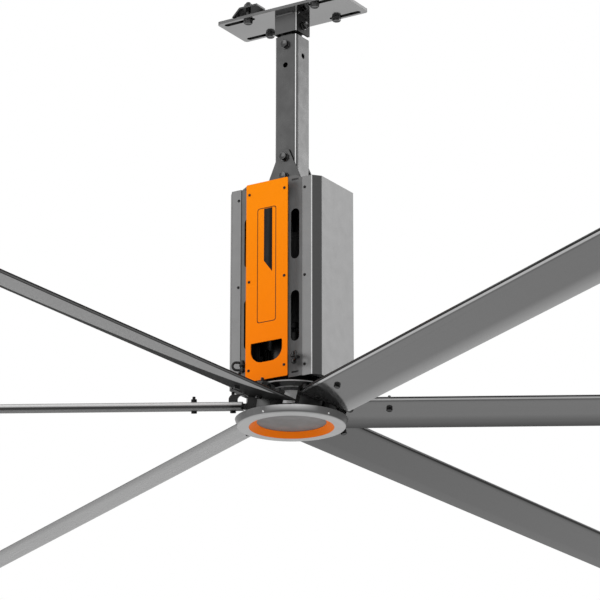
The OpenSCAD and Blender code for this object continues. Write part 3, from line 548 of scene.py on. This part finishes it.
# ---------------------------------------------------------------- materials
MATS = {
    "pad_rubber": coated("pad_rubber", 30, 0.7, wear_and_sheen=0.05),
    "plate_coat": coated("plate_coat", 158, 0.12, depth=0.01, metallic=1.0, spots=(
        (plate_edge_shade, 64), (slot_wall_shade, 10))),
    # bracket: the near-black sides are painted shade, the paler front painted light, with painted highlights at the
    # joint and the right corner
    "bracket_coat": coated("bracket_coat", 5, 0.42, specular=0.15, spots=(
        (front_faces, 90), (bracket_joint_highlight, 110), (bracket_corner_highlight, 210))),
    "black_steel": coated("black_steel", 14, 0.24, wear_and_sheen=0.5, specular=0.35),
    "tube_coat": coated("tube_coat", 64, 0.3, peel=420, metallic=0.35, specular=0.3, spots=(
        (tube_sides_lit, 98), (tube_corner_highlights, 235), (corner_shade_lines, 6), (front_hole_shade, 6), (side_hole_shade, 6))),
    "frame_coat": coated("frame_coat", 44, 0.38, metallic=0.2, specular=0.2),
    "frame_face": coated("frame_face", 96, 0.42, metallic=0.1, specular=0.2, spots=(
        (frame_edge_shade, 12), (beside_cover_light, 150), (behind_cover_shade, 4), (inside_shade, 8))),
    "cover_orange": cover_paint("cover_orange", (255, 142, 3), (252, 126, 3)),
    "label_black": coated("label_black", 20, 0.45, specular=0.1),
    "side_silver": side_sheet("side_silver", 106, 68),
    # rails, drive box and motor are near black: their own dark colours, darkened further as painted shade inside the
    # housing
    "rail_coat": coated("rail_coat", 10, 0.5, wear_and_sheen=0.05, specular=0.1),
    "drive_plastic": coated("drive_plastic", 16, 0.5, wear_and_sheen=0.1),
    "motor_grey": cast("motor_grey", 20),
    "rotor_steel": steel("rotor_steel", 60, 0.4),
    # the gearbox's large share of pale edges is a painted highlight as well as scuffing
    "gear_black": coated("gear_black", 9, 0.3, wear_and_sheen=0.8, specular=0.2, edge=2.0, spots=(
        (flange_rim_highlight, 235), (bearing_rim_highlight, 235), (in_housing_shade, 1))),
    # the boss is near white: pale metal, lifted further as painted light against the hub's shade
    "boss_grey": steel("boss_grey", 250, 0.5, 0.1),
    "hub_coat": coated("hub_coat", 30, 0.3, wear_and_sheen=0.4, specular=0.4),
    "tip_grey": coated("tip_grey", 70, 0.5),
    "cap_silver": cap_sheet("cap_silver", 170, 98, 215, 52),
    "ring_orange": coated("ring_orange", (228, 112, 6), 0.4, cloud=0.08, specular=0.05),
    "disc_grey": coated("disc_grey", 104, 0.42, metallic=0.3, specular=0.35),
    "black_fastener": steel("black_fastener", 16, 0.26, 0.5, wear_and_sheen=0.5, specular=0.4),
    "bolt_zinc": steel("bolt_zinc", 190, 0.25, 1.0),
    "bolt_grey": steel("bolt_grey", 66, 0.22, 0.9, wear_and_sheen=0.6),
    "bright_screw": steel("bright_screw", 215, 0.2, 1.0),
}

# Each blade's flat side, share of metal and roughness; the last value paints shade on the root. The flat sides'
# greys differ from blade to blade as painted reflections.
BLADE_LOOKS = (
    (flat_side(112, -50.5, (-48.8, 185), fade=45, tail=44), 0.85, 0.12),
    (flat_side(73, -46, tail=80), 0.85, 0.12),
    (flat_side(134, -50, tail=80), 0.3, 0.3),
    (flat_side(96, -50, tail=96), 0.0, 0.4),
    (flat_side(146, -20), 0.0, 0.35, True),
    (flat_side(105, -47.9, (-42.5, 185), tail=160), 0.85, 0.12),
)
for k, row in enumerate(BLADE_LOOKS):
    name = "blade_silver_%d" % (k + 1)
    MATS[name] = drawn(name, BLADE_ANGLE + STEP_ANGLE * k, *row)

# Nodes whose material isn't their slot's own.
OWN_MATS = {"cap_ring": "ring_orange", "gearbox": "gear_black"}
OWN_MATS["frame_front"] = OWN_MATS["frame_rear"] = "frame_face"
for k in range(1, BLADES + 1):
    OWN_MATS["blade_%d" % k] = "blade_silver_%d" % k

for row in frame["record"]["subparts"]:
    obj = frame["nodes"][row["node"]]
    mat = MATS[OWN_MATS.get(row["node"], row["material_slot"])]
    for s in obj.material_slots:
        s.material = mat
    if not obj.material_slots:
        obj.data.materials.append(mat)


# ---------------------------------------------------------------- places
def turn_to(point, direction, twist=0.0):
    """Matrix that puts Z along direction at point, in metres."""
    turn = Vector(direction).normalized().to_track_quat("Z", "Y").to_matrix().to_4x4()
    return Matrix.Translation(Vector(point)) @ turn @ Matrix.Rotation(twist, 4, "Z")


def aimed(x, y, z, direction):
    """Matrix that puts Z along direction at a point in mm."""
    return turn_to((x * MM, y * MM, z * MM), direction)


def arm_frame(k):
    """Matrix of the level frame of blade k's arm, X outwards."""
    turn = Matrix.Rotation(math.radians(BLADE_ANGLE + STEP_ANGLE * (k - 1)), 4, "Z")
    return turn @ Matrix.Translation((0, 0, Z_ARM * MM))


def at_blade(k, x, y, z):
    """A point of blade k's pitched frame, mm, and that frame's Z, in the row frame in metres."""
    m = arm_frame(k) @ Matrix.Rotation(math.radians(-PITCH), 4, "X")
    return m @ Vector((x * MM, y * MM, z * MM)), m.to_3x3() @ Vector((0, 0, 1))


# ---------------------------------------------------------------- meshes
def loft(bm, rings, m):
    """Closed skin over rings of (x, y, z) in mm, placed by the matrix m."""
    loops = [[bm.verts.new(m @ (Vector(p) * MM)) for p in ring] for ring in rings]
    for a, b in zip(loops, loops[1:]):
        n = len(a)
        for i in range(n):
            bm.faces.new((a[i], a[(i + 1) % n], b[(i + 1) % n], b[i]))
    bm.faces.new(list(reversed(loops[0])))
    bm.faces.new(loops[-1])


def ring(r, z, n=32):
    return [(r * math.cos(2 * math.pi * i / n), r * math.sin(2 * math.pi * i / n), z) for i in range(n)]


def hex_ring(flats, z, corner_r=None, n=36):
    """Hexagon drawn with n points, its corners cut back to the radius corner_r."""
    points = []
    for i in range(n):
        a = 2 * math.pi * i / n
        local = (a + math.pi / 6) % (math.pi / 3) - math.pi / 6
        r = flats / 2 / math.cos(local)
        if corner_r:
            r = min(r, corner_r)
        points.append((r * math.cos(a), r * math.sin(a), z))
    return points


def hex_head(bm, m, flats, h, z0, dish=0.0):
    """Hexagon head or nut from z0 up, chamfered at its outer end."""
    rings = [hex_ring(flats, z0), hex_ring(flats, z0 + h - 0.06 * flats), hex_ring(flats, z0 + h, flats * 0.485)]
    if dish:
        rings.append(ring(flats * 0.38, z0 + h, 36))
        rings.append(ring(flats * 0.34, z0 + h - dish, 36))
    loft(bm, rings, m)


def washer(bm, m, d, t, z0):
    loft(bm, [ring(d / 2, z0), ring(d / 2, z0 + t * 0.75), ring(d / 2 - t * 0.25, z0 + t)], m)


def thread(bm, m, d, z0, z1, pitch):
    """Threaded end with a chamfer: ridges one pitch apart."""
    crest, root, end = d / 2, d / 2 * 0.9, d / 2 * 0.82
    rings, z = [ring(root, z0, 24)], z0
    while z + pitch < z1 - 1:
        rings += [ring(crest, z + pitch * 0.35, 24), ring(crest, z + pitch * 0.6, 24), ring(root, z + pitch, 24)]
        z += pitch
    rings += [ring(crest, z + 0.3, 24), ring(end, z1, 24)]
    loft(bm, rings, m)


def head_below(bm, m, d, flats, head):
    """A bolt's washer and head, from 0 down."""
    flip = m @ Matrix.Rotation(math.pi, 4, "X")
    washer(bm, flip, 1.9 * d, d / 6, 0)
    hex_head(bm, flip, flats, head, d / 6, 0.5)


def hex_bolt(bm, m, d, flats, head, grip, tip):
    """Bolt along +Z from its head's underside: head below 0, nut and thread past the grip."""
    w = d / 6
    head_below(bm, m, d, flats, head)
    washer(bm, m, 1.9 * d, w, grip)
    hex_head(bm, m, flats, 0.8 * d, grip + w)
    thread(bm, m, d, grip + w + 0.75 * d, grip + w + 0.8 * d + tip, d / 8)
    loft(bm, [ring(d / 2, -w), ring(d / 2, grip + w)], m)


def seated_bolt(bm, m, size, depth):
    """Bolt head on its washer, from 0 up, and a shank that goes down to depth."""
    d, flats, head, washer_d, washer_t = size
    washer(bm, m, washer_d, washer_t, 0)
    hex_head(bm, m, flats, head, washer_t - 0.01, 0.5)
    loft(bm, [ring(d / 2, -depth), ring(d / 2, 1)], m)


def screw(bm, m, size):
    """Button head with a hexagon socket, its underside at 0, and a plain shank below."""
    d, h, socket, shank_d, shank_l = size
    loft(bm, [ring(d / 2, 0, 24), ring(d / 2, 0.25 * h, 24), ring(d / 2 * 0.93, 0.6 * h, 24),
              ring(d / 2 * 0.75, 0.92 * h, 24), ring(d / 2 * 0.6, h, 24),
              hex_ring(socket, h, n=24), hex_ring(socket, h * 0.35, n=24)], m)
    loft(bm, [ring(shank_d / 2, 0.01, 16), ring(shank_d / 2, -shank_l, 16)], m)


def piece(name, bm, body, mat, smooth=30.0):
    """A visible piece from a mesh that is in metres; edges sharper than smooth degrees stay sharp."""
    bmesh.ops.recalc_face_normals(bm, faces=bm.faces)
    mesh = bpy.data.meshes.new(name)
    bm.to_mesh(mesh)
    bm.free()
    obj = bpy.data.objects.new(name, mesh)
    SCENE.collection.objects.link(obj)
    mesh.materials.append(mat)
    mesh.set_sharp_from_angle(angle=math.radians(smooth))
    for p in mesh.polygons:
        p.use_smooth = True
    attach(obj, body)
    return obj


# ---------------------------------------------------------------- fasteners
def tube_bolts():
    """Bolts of the knuckle's two pivots and of the ear plates."""
    bm = bmesh.new()
    hex_bolt(bm, aimed(BRACKET_W / 2, 0, Z_PIVOT_X, (-1, 0, 0)), *M16, BRACKET_W, 4)
    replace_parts(piece("pivot_bolt_x_set", bm, "ceiling", MATS["bolt_grey"]), "pivot_bolt_x")

    bm = bmesh.new()
    hex_bolt(bm, aimed(0, -TUBE_W / 2, Z_PIVOT_Y, (0, 1, 0)), *M16, TUBE_W, 4)
    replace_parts(piece("pivot_bolt_y_set", bm, "hanger", MATS["bolt_grey"]), "pivot_bolt_y")

    bm = bmesh.new()
    for z in Z_EAR_BOLTS:
        hex_bolt(bm, aimed(0, -TUBE_W / 2 - EAR_T, z, (0, 1, 0)), *M16, TUBE_W + 2 * EAR_T, 4)
    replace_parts(piece("tube_bolt_set", bm, "hanger", MATS["bolt_grey"]), "tube_bolts")


def cover_screws():
    bm = bmesh.new()
    for side in (1, -1):
        for sx in (-1, 1):
            for z in Z_SCREWS:
                for x, y in ((sx * POST_X, Y_COVER), (sx * SCREW_X, Y_OUT)):
                    screw(bm, aimed(side * x, -side * y, z, (0, -side, 0)), COVER_SCREW)
    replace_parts(piece("cover_screw_set", bm, "hanger", MATS["black_fastener"]), "cover_screws")


def flange_bolts():
    bm = bmesh.new()
    r = FLANGE_D * 0.43
    for i in range(4):
        a = math.radians(45 + 90 * i)
        seated_bolt(bm, aimed(r * math.cos(a), r * math.sin(a), Z_DECK_LOW, (0, 0, 1)), FLANGE_BOLT, SUNK)
    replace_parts(piece("flange_bolt_set", bm, "hanger", MATS["bolt_zinc"]), "flange_bolts")


def hub_bolts():
    """One bolt through each strap's foot and arm seat."""
    bm = bmesh.new()
    for k in range(1, BLADES + 1):
        p, z = at_blade(k, SEAT_BOLT_R, 0, SEAT_UP + STRAP_T)
        m = turn_to(p, z, math.radians(BLADE_ANGLE + STEP_ANGLE * k))
        seated_bolt(bm, m, SEAT_BOLT, SEAT_UP + STRAP_T + SUNK)
    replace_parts(piece("hub_bolt_set", bm, "rotor", MATS["black_fastener"]), "hub_bolts")


def blade_bolts():
    """Outer bolts with nuts, and inner bolts that end above the straps; each blade's are turned differently."""
    bm = bmesh.new()
    d = M10[0]
    for k in range(1, BLADES + 1):
        p, z = at_blade(k, BOLT_R2, 0, -BLADE_DOWN)
        hex_bolt(bm, turn_to(p, z, 0.3 * k), *M10, BLADE_DOWN + BLADE_UP, 8)
        p, z = at_blade(k, BOLT_R1, 0, -BLADE_DOWN)
        m = turn_to(p, z, 0.5 * k)
        head_below(bm, m, *M10)
        top = BLADE_DOWN + BLADE_UP + STRAP_GRIP + THREAD_ABOVE_STRAP
        loft(bm, [ring(d / 2, -1.6), ring(d / 2, top - 1), ring(0.42 * d, top)], m)
    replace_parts(piece("blade_bolt_set", bm, "rotor", MATS["black_fastener"]), "blade_bolts")


def cap_screws():
    """Screws round the cap's leaning side."""
    bm = bmesh.new()
    drop = CAP_H * 0.6
    lean = math.atan(CAP_DRAW / (CAP_H - CAP_EDGE))
    r = CAP_D / 2 - drop * CAP_DRAW / (CAP_H - CAP_EDGE)
    for k in range(CAP_SCREWS):
        a = math.radians(CAP_SCREW_A + k * 360 / CAP_SCREWS)
        out = (math.cos(a) * math.cos(lean), math.sin(a) * math.cos(lean), -math.sin(lean))
        screw(bm, aimed(r * math.cos(a), r * math.sin(a), Z_CAP_TOP - drop, out), CAP_SCREW)
    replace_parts(piece("cap_screw_set", bm, "rotor", MATS["bright_screw"]), "cap_screws")


def clamp_bolts():
    """One bolt up through the plate and each clamp."""
    grip = PLATE_T + CLAMP_PLAY + PAD_T + GRIP_H + CLAW_T
    for k in range(1, 5):
        sx = -1 if k <= 2 else 1
        sy = -1 if k % 2 else 1
        bm = bmesh.new()
        hex_bolt(bm, aimed(sx * CLAMP_X, sy * CLAMP_Y, -PAD_T - PLATE_T - CLAMP_PLAY, (0, 0, 1)), *M16, grip, 6)
        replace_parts(piece("clamp_bolt_set_%d" % k, bm, "clamp_%d" % k, MATS["bolt_grey"]),
                    "clamp_bolt_%d" % k)


tube_bolts()
cover_screws()
flange_bolts()
hub_bolts()
blade_bolts()
cap_screws()
clamp_bolts()


# ---------------------------------------------------------------- label outline
def rounded(w, h, r, y, n=6):
    """Rounded rectangle standing in the XZ plane at y, in the middle of the bare field."""
    points = []
    for cx, cz, a0 in ((1, 1, 0), (-1, 1, 90), (-1, -1, 180), (1, -1, 270)):
        for i in range(n + 1):
            a = math.radians(a0 + 90 * i / n)
            points.append((cx * (w / 2 - r) + r * math.cos(a), y, Z_FIELD + cz * (h / 2 - r) + r * math.sin(a)))
    return points


def label_outline():
    """Black line that fills the groove round the bare field on the front cover, and a plain slanted bar in it."""
    bm = bmesh.new()
    y_in, y_out = -Y_COVER + 0.5, -Y_COVER - 0.05
    loops = [rounded(FIELD_W + grow, FIELD_H + grow, r, y)
             for grow, r, y in ((-0.2, FIELD_R, y_in), (0.2, FIELD_R, y_out),
                                (-4.6, FIELD_R - 1, y_out), (-2.2, FIELD_R - 1, y_in))]
    verts = [[bm.verts.new(Vector(p) * MM) for p in loop] for loop in loops]
    n = len(verts[0])
    for a, b in zip(verts, verts[1:] + verts[:1]):
        for i in range(n):
            bm.faces.new((a[i], a[(i + 1) % n], b[(i + 1) % n], b[i]))

    left, right, long_l, short_l = -10, 20, 206, 168
    top, y0, y1 = Z_FIELD + 180.5, -Y_COVER + 0.02, -Y_COVER - 0.06
    bar = ((left, top - short_l), (left, top), (right, top), (right, top - long_l))
    loft(bm, [[(x, y0, z) for x, z in bar], [(x, y1, z) for x, z in bar],
              [(x * 0.98, y1 - 0.02, z) for x, z in bar]], Matrix.Identity(4))
    piece("label_outline", bm, "hanger", MATS["label_black"], 40)


label_outline()


# ---------------------------------------------------------------- welds, studs and gussets
def bead(bm, a, b, out, r, rng, pitch=2.2):
    """Rippled fillet weld from a to b, mm, in the corner whose two open sides are out[0] and out[1]."""
    a, b = Vector(a), Vector(b)
    u, v = Vector(out[0]), Vector(out[1])
    steps = max(4, int((b - a).length / pitch * 2))
    turns = [math.pi / 2 * j / 6 for j in range(7)]
    rings = []
    for i in range(steps + 1):
        t = i / steps
        ripple = 0.82 + 0.18 * (i % 2) + rng.uniform(-0.05, 0.05)
        swell = r * ripple * min(1.0, 0.55 + 8 * min(t, 1 - t))
        c = a.lerp(b, t)
        arc = [c + swell * (u * math.cos(w) * 1.05 + v * math.sin(w) * 1.05) * (0.86 + 0.14 * abs(math.cos(2 * w)))
               for w in turns]
        rings.append([c - 0.6 * u - 0.6 * v] + arc)
    loft(bm, rings, Matrix.Identity(4))


def ear_welds():
    """Beads along the feet of both ear plates."""
    rng = random.Random(7)
    x, y, z = EAR_FOOT - 1, TUBE_W / 2 + EAR_T, Z_BOX_TOP - 5
    leg = 4.5
    bm = bmesh.new()
    for side in (1, -1):
        bead(bm, (-x, -side * y, z), (x, -side * y, z), ((0, -side, 0), (0, 0, 1)), leg, rng)
    piece("ear_welds", bm, "hanger", MATS["frame_coat"], 60)


def foot_studs():
    """Small black stud at the foot of each frame plate."""
    bm = bmesh.new()
    for side in (1, -1):
        m = aimed(-side * 15, side * -Y_PLATE, Z_BOX_BOT + 6, (0, -side, 0))
        washer(bm, m, 9, 1.2, 0)
        hex_head(bm, m, 7, 3.0, 1.2, 0.3)
        thread(bm, m, 4, 3.5, 9, 0.8)
    piece("foot_studs", bm, "hanger", MATS["black_fastener"])


def seat_gussets():
    """Upright plate behind each arm seat, its edges broken."""
    low, high, x_out = -33, 16, ARM_IN - 0.2
    outline = ((70, low), (89, high - 3), (92, high), (x_out, high), (x_out, low))
    mid_x, mid_z = 92, -12
    bm = bmesh.new()
    for k in range(1, BLADES + 1):
        rings = []
        for y, shrink in ((-4, 0.95), (-3.2, 1), (3.2, 1), (4, 0.95)):
            rings.append([(mid_x + shrink * (x - mid_x), y, mid_z + shrink * (z - mid_z)) for x, z in outline])
        loft(bm, rings, arm_frame(k))
    piece("seat_gussets", bm, "rotor", MATS["hub_coat"])


ear_welds()
foot_studs()
seat_gussets()


# ---------------------------------------------------------------- stage
def floor(height):
    """Pale floor at a height in metres, clear when it is seen from underneath."""
    n = Nodes("floor_pale")
    n.finish(n.shade(colour(232), n.swing(n.noise(n.mapped(), 1.5, 3.0), 1, 0.015)), 0.8)
    clear = n.add("ShaderNodeBsdfTransparent")
    back = n.add("ShaderNodeNewGeometry").outputs["Backfacing"]
    mix = n.add("ShaderNodeMixShader")
    n.link(back, mix.inputs[0])
    n.link(n.bsdf.outputs[0], mix.inputs[1])
    n.link(clear.outputs[0], mix.inputs[2])
    n.link(mix.outputs[0], n.out.inputs[0])
    bm = bmesh.new()
    bmesh.ops.create_grid(bm, x_segments=8, y_segments=8, size=250)
    mesh = bpy.data.meshes.new("floor")
    bm.to_mesh(mesh)
    bm.free()
    obj = bpy.data.objects.new("floor", mesh)
    obj.location = (0, 0, height)
    mesh.materials.append(n.mat)
    SCENE.collection.objects.link(obj)


def world(light):
    """Even light of a given strength, white to the camera and in reflections."""
    w = bpy.data.worlds.new("studio")
    SCENE.world = w
    w.use_nodes = True
    t = w.node_tree
    t.nodes.clear()
    out = t.nodes.new("ShaderNodeOutputWorld")
    plain = t.nodes.new("ShaderNodeBackground")
    white = t.nodes.new("ShaderNodeBackground")
    for node, strength in ((plain, light), (white, 1.0)):
        node.inputs[0].default_value = (1, 1, 1, 1)
        node.inputs[1].default_value = strength
    rays = t.nodes.new("ShaderNodeLightPath")
    seen = rays.outputs["Is Camera Ray"]
    for name in ("Is Glossy Ray", "Is Transmission Ray"):
        most = t.nodes.new("ShaderNodeMath")
        most.operation = "MAXIMUM"
        t.links.new(seen, most.inputs[0])
        t.links.new(rays.outputs[name], most.inputs[1])
        seen = most.outputs[0]
    mix = t.nodes.new("ShaderNodeMixShader")
    t.links.new(seen, mix.inputs[0])
    t.links.new(plain.outputs[0], mix.inputs[1])
    t.links.new(white.outputs[0], mix.inputs[2])
    t.links.new(mix.outputs[0], out.inputs[0])


def area(name, place, target, size, power):
    """Square area light that looks from place to target."""
    data = bpy.data.lights.new(name, "AREA")
    data.shape = "SQUARE"
    data.size = size
    data.energy = power
    obj = bpy.data.objects.new(name, data)
    obj.location = place
    obj.rotation_mode = "QUATERNION"
    obj.rotation_quaternion = (Vector(place) - Vector(target)).to_track_quat("Z", "Y")
    SCENE.collection.objects.link(obj)


floor(-4.8)
world(0.85)
area("key", (8, 8.5, 3), (0, 0, -0.9), 6, 420)
area("fill", (-9, -10, 2), (0, 0, -0.9), 8, 500)


# ---------------------------------------------------------------- camera
def camera():
    """The photograph's camera, fitted to its edges: from below, in front and on the right."""
    turn, tilt, roll = math.radians(VIEW_TURN), math.radians(18.02), math.radians(0.06)
    focal_px, width_px, sensor = 3159.0, 600.0, 36.0
    place = Vector((4950.2, -7783.4, -3947.8)) * MM
    right = Vector((math.cos(turn), math.sin(turn), 0))
    ahead = Vector((-math.sin(turn) * math.cos(tilt), math.cos(turn) * math.cos(tilt), math.sin(tilt)))
    up = right.cross(ahead)
    right, up = right * math.cos(roll) + up * math.sin(roll), up * math.cos(roll) - right * math.sin(roll)
    data = bpy.data.cameras.new("camera")
    data.lens = focal_px / width_px * sensor
    data.sensor_width = sensor
    data.clip_end = 500
    obj = bpy.data.objects.new("camera", data)
    obj.matrix_world = Matrix((
        (right.x, up.x, -ahead.x, place.x),
        (right.y, up.y, -ahead.y, place.y),
        (right.z, up.z, -ahead.z, place.z),
        (0, 0, 0, 1),
    ))
    SCENE.collection.objects.link(obj)
    SCENE.camera = obj


camera()
SCENE.view_settings.view_transform = "Standard"
